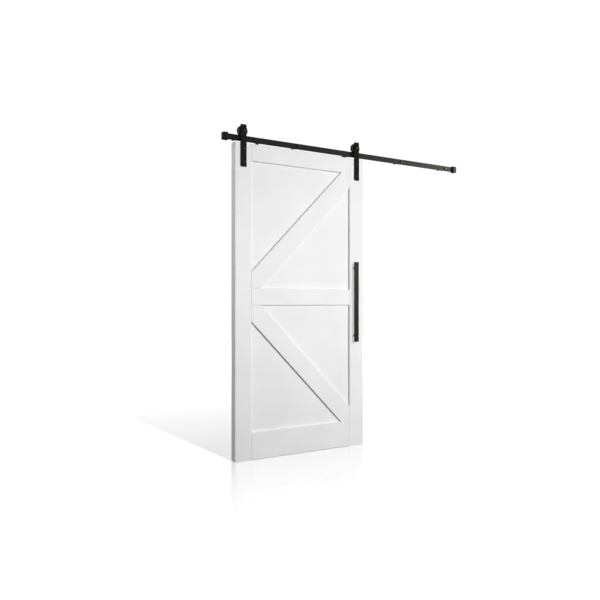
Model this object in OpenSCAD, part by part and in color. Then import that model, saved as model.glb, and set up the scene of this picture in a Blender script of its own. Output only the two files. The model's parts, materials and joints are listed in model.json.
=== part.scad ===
// Sliding barn door: a braced leaf on two strap hangers, rolling on a flat wall track.
// X runs along the track, +Y points into the wall and +Z points up.
// The origin is on the face of the wall, on the axis of the middle lag bolt.

/* [Leaf] */
// Width of the leaf
leaf_w = 1067; // [960:1:1100]
// Height of the leaf
leaf_h = 2134; // [2030:1:2240]
// Thickness of the leaf
leaf_t = 57; // [45:1:60]
// Left edge of the leaf, from the middle of the track
leaf_left = -980; // [-990:1:-960]
// Gap between the top of the leaf and the track
top_gap = 11; // [9.5:0.5:12]
// Width of each stile
stile_w = 123; // [110:1:140]
// Height of the top rail
top_rail_h = 115; // [100:1:140]
// Height of the middle rail
mid_rail_h = 115; // [100:1:140]
// Height of the bottom rail
bottom_rail_h = 184; // [160:1:220]
// Width of each diagonal brace
brace_w = 130; // [110:1:140]
// Slope of each brace above the horizontal, in degrees
brace_angle = 45.2; // [44:0.1:47]
// Bevel along the face edges of every member
edge_bevel = 2.5; // [1:0.1:3]

/* [Panels and joints] */
// Thickness of the panels, and of the tongues on the members
panel_t = 25; // [18:1:28]
// Depth of the groove that takes a panel or tongue
groove_depth = 12; // [10:1:15]
// Play between a tongue and each wall of its groove
groove_play = 0.1; // [0.05:0.05:0.3]
// Space left at the bottom of a groove for the wood to swell
swell_gap = 1; // [0.5:0.5:2]
// Diameter of the joint dowels
dowel_d = 10; // [8:1:12]
// Length of the joint dowels
dowel_l = 90; // [60:1:100]

/* [Track] */
// Length of the track bar
track_l = 2134; // [2100:1:2200]
// Height of the track bar
track_h = 40; // [38:1:45]
// Thickness of the track bar
track_t = 6; // [5:0.5:8]
// Distance from one lag bolt to the next
bolt_pitch = 475; // [450:1:490]
// Number of lag bolts
bolt_n = 5; // [3:2:5]
// Length of the spacers between the wall and the track
spacer_l = 48; // [46:1:60]
// Outer diameter of the spacers
spacer_d = 19; // [18:1:26]
// Diameter of the lag bolts
lag_d = 8; // [6:0.5:8]
// Diameter of the lag bolts' threaded end in the wall
lag_thread_d = 7.4; // [5:0.1:7.4]
// Length of the lag bolts in the wall, without the point
lag_grip = 38; // [30:1:60]

/* [End stops] */
// Length of each stop block along the track
stop_l = 30; // [26:1:50]
// Height of each stop block
stop_h = 50; // [46:1:56]
// Depth of each stop block from front to back
stop_d = 26; // [22:1:30]
// Reach of each stop block below the track
stop_drop = 5; // [2:0.5:5.5]
// Radius of each stop block's outer corners
stop_corner_r = 7; // [4:1:12]
// Thickness of the rubber pad on each stop
pad_t = 9; // [6:1:16]
// How far the pad stands proud of its block, all round
pad_proud = 1; // [0:0.5:1.5]

/* [Hangers] */
// Width of the straps
strap_w = 44; // [36:1:46]
// Thickness of the straps
strap_t = 6; // [5:0.5:8]
// Height of each strap above the leaf
strap_above = 122; // [118:1:130]
// Length of each strap below the top of the leaf
strap_below = 162; // [150:1:180]
// Radius of the strap's top corners
strap_corner_r = 5; // [2:0.5:8]
// Depths of the strap bolts below the top of the leaf
strap_bolt_drop = [41, 130]; // [30:1:140]
// Outer radius of the wheels
wheel_r = 36; // [34:0.5:37]
// Distance from the wheel's axis to the top of the track
rolling_r = 30; // [28:0.5:32]
// Width of the wheels
wheel_w = 22; // [20:1:23]
// Distance from the front of the leaf to the middle of the track bar
track_set_back = 17; // [16:0.5:18]

/* [Anti-jump discs] */
// Distance of each disc from the nearer edge of the leaf
disc_inset = 171; // [171:1:250]
// Diameter of the discs
disc_d = 28; // [20:1:32]
// Thickness of the discs
disc_t = 8; // [4:0.5:8]

/* [Pull handle] */
// Length of the handle bar
handle_l = 590; // [400:1:700]
// Width of the handle bar
handle_w = 39; // [25:1:50]
// Thickness of the handle bar
handle_t = 8; // [8:1:12]
// Space for fingers behind the handle bar
handle_gap = 25; // [25:1:40]
// Distance of the handle's middle line from the right edge of the leaf
handle_inset = 82; // [60:1:92]
// Distance between the handle's posts
post_pitch = 500; // [300:1:520]
// Diameter of the handle's posts
post_d = 12; // [12:1:18]

/* [Hidden] */

$fn = 48;
eps = 0.5; // overshoot of a cut past the face that it opens

// Colours
paint = [0.94, 0.945, 0.945];
black_coat = [0.13, 0.127, 0.12];
black_rubber = [0.07, 0.07, 0.07];
bare_steel = [0.72, 0.72, 0.73];
beech = [0.8, 0.66, 0.47];

// Planes across the thickness, from the wall outwards
track_back = -spacer_l;
track_mid = track_back - track_t / 2;
track_front = track_back - track_t;
leaf_front = track_mid - track_set_back;
leaf_mid = leaf_front + leaf_t / 2;
leaf_back = leaf_front + leaf_t;
strap_front = leaf_front - strap_t;

// Heights
track_top = track_h / 2;
leaf_top = -track_h / 2 - top_gap;
leaf_bottom = leaf_top - leaf_h;
axle_z = track_top + rolling_r;

// Leaf layout
leaf_right = leaf_left + leaf_w;
opening_left = leaf_left + stile_w;
opening_w = leaf_w - 2 * stile_w;
opening_h = (leaf_h - top_rail_h - mid_rail_h - bottom_rail_h) / 2;
lower_opening_z = leaf_bottom + bottom_rail_h;
mid_rail_z = lower_opening_z + opening_h;
upper_opening_z = mid_rail_z + mid_rail_h;
top_rail_z = leaf_top - top_rail_h;
tongue_l = groove_depth - swell_gap;
far = 2 * leaf_h; // longer than anything on the leaf

// Dowels across each joint, as shares of the rail's height
rail_dowel_places = [0.3, 0.7];
bottom_dowel_places = [0.25, 0.5, 0.75];
dowel_zs = concat(
    [for (f = rail_dowel_places) top_rail_z + f * top_rail_h],
    [for (f = rail_dowel_places) mid_rail_z + f * mid_rail_h],
    [for (f = bottom_dowel_places) leaf_bottom + f * bottom_rail_h]
);

// Positions along the track of what comes in a row or a pair
bolt_xs = [for (i = [0 : bolt_n - 1]) (i - (bolt_n - 1) / 2) * bolt_pitch];
hanger_xs = [leaf_left + stile_w / 2, leaf_right - stile_w / 2];
disc_xs = [leaf_left + disc_inset, leaf_right - disc_inset];
handle_x = leaf_right - handle_inset;
handle_z = leaf_bottom + leaf_h / 2;
handle_back = leaf_front - handle_gap;
post_zs = [handle_z - post_pitch / 2, handle_z + post_pitch / 2];
strap_bolt_zs = [for (drop = strap_bolt_drop) leaf_top - drop];

// Fasteners: play on a radius, space past the end in a blind hole, turned top of a hexagonal head
bolt_play = 0.3;
thread_play = 0.05;
hole_end_gap = 1;
hex_top = 0.93;

// Fasteners: sizes
lag_head_af = 13;
lag_head_h = 5.5;
lag_point_l = 6;
lag_tip_r = 0.7;
lag_washer_d = 22;
lag_washer_t = 2;
strap_bolt_d = 8;
strap_bolt_l = 50;
strap_head_d = 16;
strap_head_h = 4.5;
strap_socket_af = 5;
barrel_d = 11;
barrel_l = 30;
flange_d = 20;
flange_t = 3;
axle_head_af = 19;
axle_head_h = 7.5;
axle_nut_h = 9;
axle_nut_collar_h = 3;
axle_nut_collar_d = 17;
axle_end_l = 1;
handle_edge = 1;
handle_bolt_d = 6;
handle_bolt_grip = 5;
handle_head_d = 14;
handle_head_h = 3.5;
grub_d = 6;
grub_socket_af = 3;
grub_spread = 16;
disc_screw_d = 4;
disc_screw_l = 34;
disc_screw_head_d = 9;
disc_screw_head_h = 3;
socket_depth = 2.5;

// End stops: inner face, middle and lowest point of the right block, and its grub screws
stop_inner_x = track_l / 2 - stop_l;
stop_mid_x = stop_inner_x + stop_l / 2;
stop_bottom = -track_h / 2 - stop_drop;
grub_xs = [stop_mid_x - grub_spread / 2, stop_mid_x + grub_spread / 2];

// Bearing in each wheel, on its axle bolt
axle_d = 12;
bearing_d = 32;
bearing_w = 10;
bearing_pitch_r = 11;
inner_ring_r = 9.2;
outer_ring_r = 12.8;
ball_r = 2.98;
ball_n = 8;
race_r = 3.05;
seat_play = 0.02;
shield_r = 13.3;
shield_bore_r = 9.5;
shield_t = 0.6;
shield_step = 0.8;

// Planes of the hanger's stack behind the strap
bush_r = 9;
rear_bush_l = 7;
bearing_front = track_mid - bearing_w / 2;
bearing_back = track_mid + bearing_w / 2;
axle_nut_front = bearing_back + rear_bush_l;
axle_end = axle_nut_front + axle_nut_h + axle_nut_collar_h + axle_end_l;

// Wheel section, from the hub outwards
bearing_lip_h = 2;
hub_r = 20;
hub_setback = 2;
web_setback = 4.5;
web_slope = 1.5;
rim_t = 8;
rim_bevel = 1;
tread_gap = 0.3;
groove_side_gap = 0.4;
groove_mouth_gap = 1.8;

// Shared shapes

// One edge of a board's outline: bevels, with a groove or a tongue between them where it has one
function edge_reach(kind) = kind == "groove" ? -groove_depth : tongue_l;
function edge_half(kind) = panel_t / 2 + (kind == "groove" ? groove_play : 0);
function edge_points(kind) = concat(
    [[-edge_bevel, 0], [0, edge_bevel]],
    kind == "plain" ? [] : [
        [0, leaf_t / 2 - edge_half(kind)],
        [edge_reach(kind), leaf_t / 2 - edge_half(kind)],
        [edge_reach(kind), leaf_t / 2 + edge_half(kind)],
        [0, leaf_t / 2 + edge_half(kind)]
    ],
    [[0, leaf_t - edge_bevel], [-edge_bevel, leaf_t]]
);
function reversed(list) = [for (i = [len(list) - 1 : -1 : 0]) list[i]];

// Cross-section of a board: width along X, thickness along Y
module board_section(width, low, high) {
    polygon(concat(
        [for (p = edge_points(high)) [width + p[0], p[1]]],
        [for (p = reversed(edge_points(low))) [-p[0], p[1]]]
    ));
}

// A board with its section's width along X, running up Z from -reach
module upright_board(width, length, low, high, reach = 0) {
    translate([0, 0, -reach])
        linear_extrude(length + 2 * reach)
            board_section(width, low, high);
}

// A board with its section's width along Z, running along X from -reach
module level_board(width, length, low, high, reach = 0) {
    translate([length + reach, 0, 0])
        rotate([0, -90, 0])
            linear_extrude(length + 2 * reach)
                board_section(width, low, high);
}

// Turns a shape built up Z so that it runs along +Y from a point
module along_y(p) {
    translate(p)
        rotate([-90, 0, 0])
            children();
}

// A flat shape drawn in X and Z, given a thickness along +Y from plane y
module upright_plate(y, thickness) {
    translate([0, y + thickness, 0])
        rotate([90, 0, 0])
            linear_extrude(thickness)
                children();
}

// A tube or ring along Z
module ring(r_out, r_in, length) {
    difference() {
        cylinder(r = r_out, h = length);
        translate([0, 0, -eps])
            cylinder(r = r_in, h = length + 2 * eps);
    }
}

// A hexagonal head along Z, with its outer corners turned off; across is over its flats
module hex_head(across, height) {
    corner_r = across / sqrt(3);
    intersection() {
        cylinder(r = corner_r, h = height, $fn = 6);
        cylinder(r1 = corner_r + height, r2 = corner_r * hex_top, h = height);
    }
}

// A domed head standing on z = 0, with a hexagonal socket in its crown
module dome_head(diameter, height, socket_af) {
    ball = (pow(diameter / 2, 2) + pow(height, 2)) / (2 * height);
    difference() {
        intersection() {
            translate([0, 0, height - ball])
                sphere(r = ball);
            cylinder(r = diameter / 2 + eps, h = height + eps);
        }
        translate([0, 0, height - socket_depth])
            cylinder(r = socket_af / sqrt(3), h = socket_depth + eps, $fn = 6);
    }
}

// Track

module track_bar() {
    color(black_coat)
        difference() {
            translate([-track_l / 2, track_front, -track_h / 2])
                cube([track_l, track_t, track_h]);
            for (x = bolt_xs)
                along_y([x, track_front - eps, 0])
                    cylinder(r = lag_d / 2 + bolt_play, h = track_t + 2 * eps);
        }
}

module track_spacers() {
    color(black_coat)
        for (x = bolt_xs)
            along_y([x, track_back, 0])
                ring(spacer_d / 2, lag_d / 2 + bolt_play, spacer_l);
}

module lag_washers() {
    color(black_coat)
        for (x = bolt_xs)
            along_y([x, track_front - lag_washer_t, 0])
                ring(lag_washer_d / 2, lag_d / 2 + bolt_play, lag_washer_t);
}

module lag_bolt() {
    head_seat = -track_front + lag_washer_t;
    translate([0, 0, -head_seat]) {
        mirror([0, 0, 1])
            hex_head(lag_head_af, lag_head_h);
        cylinder(r = lag_d / 2, h = head_seat);
    }
    cylinder(r = lag_thread_d / 2, h = lag_grip);
    translate([0, 0, lag_grip])
        cylinder(r1 = lag_thread_d / 2, r2 = lag_tip_r, h = lag_point_l);
}

module lag_bolts() {
    color(black_coat)
        for (x = bolt_xs)
            along_y([x, 0, 0])
                lag_bolt();
}

// End stops

// Slot that straddles the track bar, open at the bottom
module track_slot(x, length) {
    slot_h = track_top + groove_play - stop_bottom + pad_proud + eps;
    translate([x - eps, track_front - groove_play, stop_bottom - pad_proud - eps])
        cube([length + 2 * eps, track_t + 2 * groove_play, slot_h]);
}

module stop_outline() {
    r = stop_corner_r;
    translate([stop_inner_x, stop_bottom]) {
        square([stop_l - r, stop_h]);
        translate([0, r])
            square([stop_l, stop_h - 2 * r]);
        for (z = [r, stop_h - r])
            translate([stop_l - r, z])
                circle(r = r);
    }
}

module stop_block() {
    color(black_coat)
        difference() {
            upright_plate(track_mid - stop_d / 2, stop_d)
                stop_outline();
            track_slot(stop_inner_x, stop_l);
            for (x = grub_xs)
                along_y([x, track_mid - stop_d / 2 - eps, 0])
                    cylinder(r = grub_d / 2 + thread_play, h = stop_d / 2);
        }
}

module right_stop() {
    stop_block();
}

module left_stop() {
    mirror([1, 0, 0])
        stop_block();
}

module stop_pad() {
    difference() {
        translate([stop_inner_x - pad_t, track_mid - stop_d / 2 - pad_proud, stop_bottom - pad_proud])
            cube([pad_t, stop_d + 2 * pad_proud, stop_h + 2 * pad_proud]);
        track_slot(stop_inner_x - pad_t, pad_t);
    }
}

module stop_pads() {
    color(black_rubber)
        for (side = [0, 1])
            mirror([side, 0, 0])
                stop_pad();
}

module grub_screw() {
    grub_l = track_front - groove_play - (track_mid - stop_d / 2);
    difference() {
        cylinder(r = grub_d / 2, h = grub_l + groove_play);
        translate([0, 0, -eps])
            cylinder(r = grub_socket_af / sqrt(3), h = socket_depth + eps, $fn = 6);
    }
}

module stop_screws() {
    color(black_coat)
        for (side = [0, 1])
            mirror([side, 0, 0])
                for (x = grub_xs)
                    along_y([x, track_mid - stop_d / 2, 0])
                        grub_screw();
}

// Leaf

// The joint dowels, or with a larger radius and length their holes
module dowel_set(r, length) {
    for (x = [opening_left, opening_left + opening_w])
        for (z = dowel_zs)
            translate([x - length / 2, leaf_mid, z])
                rotate([0, 90, 0])
                    cylinder(r = r, h = length);
}

module dowel_holes() {
    dowel_set(dowel_d / 2 + thread_play, dowel_l + hole_end_gap);
}

module frame_dowels() {
    color(beech)
        dowel_set(dowel_d / 2, dowel_l);
}

// Stepped holes for the strap bolts and their barrel nuts
module strap_holes(x) {
    for (z = strap_bolt_zs) {
        along_y([x, leaf_front - eps, z])
            cylinder(r = strap_bolt_d / 2 + bolt_play, h = leaf_t + 2 * eps);
        along_y([x, leaf_back - barrel_l, z])
            cylinder(r = barrel_d / 2 + thread_play, h = barrel_l + eps);
    }
}

module left_stile() {
    color(paint)
        difference() {
            translate([leaf_left, leaf_front, leaf_bottom])
                upright_board(stile_w, leaf_h, "plain", "groove");
            dowel_holes();
            strap_holes(hanger_xs[0]);
        }
}

module right_stile() {
    color(paint)
        difference() {
            translate([leaf_right - stile_w, leaf_front, leaf_bottom])
                upright_board(stile_w, leaf_h, "groove", "plain");
            dowel_holes();
            strap_holes(hanger_xs[1]);
            for (z = post_zs)
                along_y([handle_x, leaf_front - eps, z])
                    cylinder(r = handle_bolt_d / 2 + bolt_play, h = leaf_t + 2 * eps);
        }
}

// A rail between the stiles, with a tongue on each end
module cross_rail(z, height, low, high) {
    translate([opening_left, leaf_front, z])
        intersection() {
            upright_board(opening_w, height, "tongue", "tongue");
            level_board(height, opening_w, low, high, reach = groove_depth);
        }
}

module top_rail() {
    color(paint)
        difference() {
            cross_rail(top_rail_z, top_rail_h, "groove", "plain");
            dowel_holes();
            for (x = disc_xs)
                translate([x, track_mid, leaf_top - disc_screw_l])
                    cylinder(r = disc_screw_d / 2 + thread_play, h = disc_screw_l + eps);
        }
}

module mid_rail() {
    color(paint)
        difference() {
            cross_rail(mid_rail_z, mid_rail_h, "groove", "groove");
            dowel_holes();
        }
}

module bottom_rail() {
    color(paint)
        difference() {
            cross_rail(leaf_bottom, bottom_rail_h, "plain", "groove");
            dowel_holes();
        }
}

// A diagonal brace trimmed to an opening, with tongues that enter the grooves round it
module brace(z, angle) {
    translate([opening_left, leaf_front, z])
        intersection() {
            upright_board(opening_w, opening_h, "tongue", "tongue", reach = groove_depth);
            level_board(opening_h, opening_w, "tongue", "tongue", reach = groove_depth);
            translate([opening_w / 2, 0, opening_h / 2])
                rotate([0, -angle, 0])
                    translate([-far / 2, 0, -brace_w / 2])
                        level_board(brace_w, far, "groove", "groove");
        }
}

module upper_brace() {
    color(paint)
        brace(upper_opening_z, brace_angle);
}

module lower_brace() {
    color(paint)
        brace(lower_opening_z, -brace_angle);
}

// A panel fills an opening on one side of its brace: side is 1 above the brace, -1 below it
module panel(z, angle, side) {
    brace_core = brace_w / 2 - tongue_l;
    translate([opening_left, 0, z])
        upright_plate(leaf_mid - panel_t / 2, panel_t)
            intersection() {
                translate([-tongue_l, -tongue_l])
                    square([opening_w + 2 * tongue_l, opening_h + 2 * tongue_l]);
                translate([opening_w / 2, opening_h / 2])
                    rotate(angle)
                        translate([-far / 2, side > 0 ? brace_core : -brace_core - far])
                            square([far, far]);
            }
}

module upper_left_panel() {
    color(paint)
        panel(upper_opening_z, brace_angle, 1);
}

module upper_right_panel() {
    color(paint)
        panel(upper_opening_z, brace_angle, -1);
}

module lower_left_panel() {
    color(paint)
        panel(lower_opening_z, -brace_angle, -1);
}

module lower_right_panel() {
    color(paint)
        panel(lower_opening_z, -brace_angle, 1);
}

// Hangers

module strap_outline() {
    r = strap_corner_r;
    square([strap_w, strap_below + strap_above - r]);
    translate([r, 0])
        square([strap_w - 2 * r, strap_below + strap_above]);
    for (x = [r, strap_w - r])
        translate([x, strap_below + strap_above - r])
            circle(r = r);
}

module strap(x) {
    color(black_coat)
        difference() {
            translate([x - strap_w / 2, 0, leaf_top - strap_below])
                upright_plate(strap_front, strap_t)
                    strap_outline();
            along_y([x, strap_front - eps, axle_z])
                cylinder(r = axle_d / 2 + bolt_play, h = strap_t + 2 * eps);
            for (z = strap_bolt_zs)
                along_y([x, strap_front - eps, z])
                    cylinder(r = strap_bolt_d / 2 + bolt_play, h = strap_t + 2 * eps);
        }
}

module left_strap() {
    strap(hanger_xs[0]);
}

module right_strap() {
    strap(hanger_xs[1]);
}

module strap_bolts() {
    color(black_coat)
        for (x = hanger_xs)
            for (z = strap_bolt_zs)
                along_y([x, strap_front, z]) {
                    mirror([0, 0, 1])
                        dome_head(strap_head_d, strap_head_h, strap_socket_af);
                    cylinder(r = strap_bolt_d / 2, h = strap_bolt_l);
                }
}

// Barrel nuts, pushed in from the back of the leaf
module strap_nuts() {
    color(black_coat)
        for (x = hanger_xs)
            for (z = strap_bolt_zs) {
                along_y([x, leaf_back - barrel_l, z])
                    ring(barrel_d / 2, strap_bolt_d / 2 + thread_play, barrel_l);
                along_y([x, leaf_back, z])
                    cylinder(r = flange_d / 2, h = flange_t);
            }
}

module axle_bolts() {
    color(black_coat)
        for (x = hanger_xs)
            along_y([x, strap_front, axle_z]) {
                mirror([0, 0, 1])
                    hex_head(axle_head_af, axle_head_h);
                cylinder(r = axle_d / 2, h = axle_end - strap_front);
            }
}

module front_bushes() {
    color(bare_steel)
        for (x = hanger_xs)
            along_y([x, leaf_front, axle_z])
                ring(bush_r, axle_d / 2 + thread_play, bearing_front - leaf_front);
}

module rear_bushes() {
    color(bare_steel)
        for (x = hanger_xs)
            along_y([x, bearing_back, axle_z])
                ring(bush_r, axle_d / 2 + thread_play, rear_bush_l);
}

module axle_nuts() {
    color(black_coat)
        for (x = hanger_xs)
            along_y([x, axle_nut_front, axle_z])
                difference() {
                    union() {
                        hex_head(axle_head_af, axle_nut_h);
                        cylinder(r = axle_nut_collar_d / 2, h = axle_nut_h + axle_nut_collar_h);
                    }
                    translate([0, 0, -eps])
                        cylinder(r = axle_d / 2 + thread_play, h = axle_nut_h + axle_nut_collar_h + 2 * eps);
                }
}

// Wheels and bearings, turned about Y

// Places a turned shape in a hanger, with its middle over the middle of the track bar
module on_axle(x) {
    along_y([x, track_mid, axle_z])
        children();
}

// Section of the wheel: radius along X, width along Y
module wheel_section() {
    half = wheel_w / 2;
    hub_half = half - hub_setback;
    web_half = half - web_setback;
    web_in = hub_r + web_slope;
    rim_in = wheel_r - rim_t;
    web_out = rim_in - web_slope;
    tread_r = rolling_r - tread_gap;
    groove_half = track_t / 2 + groove_side_gap;
    mouth_half = track_t / 2 + groove_mouth_gap;
    seat_r = bearing_d / 2;
    lip_r = seat_r - bearing_lip_h;
    polygon([
        [lip_r, -hub_half], [hub_r, -hub_half], [web_in, -web_half], [web_out, -web_half],
        [rim_in, -half], [wheel_r - rim_bevel, -half], [wheel_r, -half + rim_bevel],
        [wheel_r, -mouth_half], [tread_r, -groove_half], [tread_r, groove_half], [wheel_r, mouth_half],
        [wheel_r, half - rim_bevel], [wheel_r - rim_bevel, half], [rim_in, half],
        [web_out, web_half], [web_in, web_half], [hub_r, hub_half], [seat_r, hub_half],
        [seat_r, -bearing_w / 2], [lip_r, -bearing_w / 2]
    ]);
}

module wheel(x) {
    color(black_coat)
        on_axle(x)
            rotate_extrude($fn = 96)
                wheel_section();
}

// Groove that the balls run in
module race() {
    rotate_extrude()
        translate([bearing_pitch_r, 0])
            circle(r = race_r);
}

module outer_ring(x) {
    color(bare_steel)
        on_axle(x)
            difference() {
                translate([0, 0, -bearing_w / 2])
                    ring(bearing_d / 2 - seat_play, outer_ring_r, bearing_w);
                race();
                for (side = [0, 1])
                    mirror([0, 0, side])
                        translate([0, 0, bearing_w / 2 - shield_step])
                            cylinder(r = shield_r, h = shield_step + eps);
            }
}

module balls(x) {
    color(bare_steel)
        on_axle(x)
            for (i = [0 : ball_n - 1])
                rotate(i * 360 / ball_n)
                    translate([bearing_pitch_r, 0, 0])
                        sphere(r = ball_r);
}

module shields(x) {
    color(bare_steel)
        on_axle(x)
            for (side = [0, 1])
                mirror([0, 0, side])
                    translate([0, 0, bearing_w / 2 - shield_step])
                        ring(shield_r - seat_play, shield_bore_r, shield_t);
}

module bearing_inner_rings() {
    color(bare_steel)
        for (x = hanger_xs)
            on_axle(x)
                difference() {
                    translate([0, 0, -bearing_w / 2])
                        ring(inner_ring_r, axle_d / 2 + thread_play, bearing_w);
                    race();
                }
}

module left_wheel() {
    wheel(hanger_xs[0]);
}

module left_bearing_ring() {
    outer_ring(hanger_xs[0]);
}

module left_bearing_balls() {
    balls(hanger_xs[0]);
}

module left_bearing_shields() {
    shields(hanger_xs[0]);
}

module right_wheel() {
    wheel(hanger_xs[1]);
}

module right_bearing_ring() {
    outer_ring(hanger_xs[1]);
}

module right_bearing_balls() {
    balls(hanger_xs[1]);
}

module right_bearing_shields() {
    shields(hanger_xs[1]);
}

// Anti-jump discs

module anti_jump_discs() {
    color(black_coat)
        for (x = disc_xs)
            translate([x, track_mid, leaf_top])
                difference() {
                    cylinder(r = disc_d / 2, h = disc_t);
                    translate([0, 0, -eps])
                        cylinder(r = disc_screw_d / 2 + bolt_play, h = disc_t + 2 * eps);
                    translate([0, 0, disc_t - disc_screw_head_h - bolt_play])
                        cylinder(
                            r1 = disc_screw_d / 2 + bolt_play,
                            r2 = disc_screw_head_d / 2 + bolt_play,
                            h = disc_screw_head_h + 2 * bolt_play
                        );
                }
}

module disc_screws() {
    color(black_coat)
        for (x = disc_xs)
            translate([x, track_mid, leaf_top + disc_t]) {
                translate([0, 0, -disc_screw_head_h])
                    cylinder(r1 = disc_screw_d / 2, r2 = disc_screw_head_d / 2, h = disc_screw_head_h);
                translate([0, 0, -disc_screw_l])
                    cylinder(r = disc_screw_d / 2, h = disc_screw_l - disc_screw_head_h);
            }
}

// Pull handle

// Cross-section of the bar, with its long edges softened
module handle_section() {
    w = handle_w;
    t = handle_t;
    e = handle_edge;
    polygon([[e, 0], [w - e, 0], [w, e], [w, t - e], [w - e, t], [e, t], [0, t - e], [0, e]]);
}

module handle_bar() {
    hole_l = handle_bolt_grip + hole_end_gap;
    color(black_coat)
        difference() {
            translate([handle_x - handle_w / 2, handle_back - handle_t, handle_z - handle_l / 2])
                linear_extrude(handle_l)
                    handle_section();
            for (z = post_zs)
                along_y([handle_x, handle_back - hole_l, z])
                    cylinder(r = handle_bolt_d / 2 + thread_play, h = hole_l + eps);
        }
}

module handle_posts() {
    color(black_coat)
        for (z = post_zs)
            along_y([handle_x, handle_back, z])
                ring(post_d / 2, handle_bolt_d / 2 + bolt_play, handle_gap);
}

module handle_bolts() {
    color(black_coat)
        for (z = post_zs) {
            along_y([handle_x, handle_back - handle_bolt_grip, z])
                cylinder(r = handle_bolt_d / 2, h = handle_bolt_grip + handle_gap + leaf_t);
            along_y([handle_x, leaf_back, z])
                dome_head(handle_head_d, handle_head_h, strap_socket_af);
        }
}

track_bar();
track_spacers();
lag_bolts();
lag_washers();
left_stop();
right_stop();
stop_pads();
stop_screws();
left_stile();
right_stile();
top_rail();
mid_rail();
bottom_rail();
upper_brace();
lower_brace();
upper_left_panel();
upper_right_panel();
lower_left_panel();
lower_right_panel();
frame_dowels();
left_strap();
right_strap();
strap_bolts();
strap_nuts();
axle_bolts();
front_bushes();
rear_bushes();
axle_nuts();
bearing_inner_rings();
anti_jump_discs();
disc_screws();
handle_bar();
handle_posts();
handle_bolts();
left_wheel();
left_bearing_ring();
left_bearing_balls();
left_bearing_shields();
right_wheel();
right_bearing_ring();
right_bearing_balls();
right_bearing_shields();
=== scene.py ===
import json
import math

import bmesh
import bpy
from mathutils import Matrix, Vector


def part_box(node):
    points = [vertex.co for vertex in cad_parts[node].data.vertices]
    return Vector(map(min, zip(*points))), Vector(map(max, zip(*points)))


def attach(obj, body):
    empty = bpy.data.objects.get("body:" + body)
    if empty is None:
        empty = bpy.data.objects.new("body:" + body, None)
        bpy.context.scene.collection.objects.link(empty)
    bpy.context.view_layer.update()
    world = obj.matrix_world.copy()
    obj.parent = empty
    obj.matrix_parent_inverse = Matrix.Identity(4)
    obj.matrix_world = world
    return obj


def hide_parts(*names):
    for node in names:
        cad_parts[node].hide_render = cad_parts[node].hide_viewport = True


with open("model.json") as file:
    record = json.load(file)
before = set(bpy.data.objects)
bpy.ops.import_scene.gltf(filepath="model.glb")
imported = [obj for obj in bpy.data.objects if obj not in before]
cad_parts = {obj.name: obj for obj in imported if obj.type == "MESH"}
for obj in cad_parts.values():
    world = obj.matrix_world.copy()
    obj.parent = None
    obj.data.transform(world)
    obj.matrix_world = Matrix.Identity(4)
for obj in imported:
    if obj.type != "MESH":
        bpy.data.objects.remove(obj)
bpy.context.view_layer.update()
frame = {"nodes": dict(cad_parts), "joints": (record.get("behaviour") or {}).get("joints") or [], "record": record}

mm = 0.001

# Where things are, from the frame: the leaf's face, the hangers' axles and the wall bolts
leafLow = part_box("left_stile")[0]
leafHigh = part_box("right_stile")[1]
leafFront, leafBack = leafLow.y, leafHigh.y
joints = {joint["name"]: joint for joint in frame["joints"]}
axles = [Vector(joints[name]["pos_m"]) for name in ("left_wheel_spin", "right_wheel_spin")]
hangerStep = axles[1] - axles[0]
wheelBodies = (("left", "wheel_left", axles[0]), ("right", "wheel_right", axles[1]))
wallBolts = sorted(mount["pos_m"][0] for mount in frame["record"]["mounts"])
boltStep = Vector((wallBolts[1] - wallBolts[0], 0, 0))
print("frame loaded:", len(frame["nodes"]), "nodes")


# Camera: level, to the left of the leaf and looking along to the right

camera = {
    "leftOfLeaf": 1.934,     # metres
    "beforeLeaf": 3.889,
    "turn": 32.14,           # degrees from square on
    "lens": 39.04,
    "shiftY": 0.0032,
}


def makeCamera():
    data = bpy.data.cameras.new("camera")
    data.lens = camera["lens"]
    data.shift_y = camera["shiftY"]
    eye = bpy.data.objects.new("camera", data)
    bpy.context.scene.collection.objects.link(eye)
    eye.location = (
        leafLow.x - camera["leftOfLeaf"],
        leafFront - camera["beforeLeaf"],
        (leafLow.z + leafHigh.z) / 2,
    )
    eye.rotation_euler = (math.radians(90), 0, -math.radians(camera["turn"]))
    bpy.context.scene.camera = eye


makeCamera()


# Small tools for node trees

def linear(hexColour):
    # an sRGB hex value as the linear colour that a shader takes
    channels = [int(hexColour[i:i + 2], 16) / 255 for i in (1, 3, 5)]
    return [c / 12.92 if c <= 0.04045 else ((c + 0.055) / 1.055) ** 2.4 for c in channels] + [1.0]


def addNode(tree, kind, settings=None, inputs=None):
    # inputs are values, or sockets of other nodes to link from
    node = tree.nodes.new(kind)
    for name, value in (settings or {}).items():
        setattr(node, name, value)
    for name, value in (inputs or {}).items():
        if isinstance(value, bpy.types.NodeSocket):
            tree.links.new(value, node.inputs[name])
        else:
            node.inputs[name].default_value = value
    return node


def perMetre(size):
    # noise scale for a grain of that many millimetres
    return 1 / (size * mm)


# Finishes: dark and light colours, the shader's own values, and noises as (grain in millimetres,
# detail, stretch along the axes): mottle for the colour, patch for the roughness between the two
# values given, tooth for the relief, whose depth is in millimetres and followed by its strength.

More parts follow.
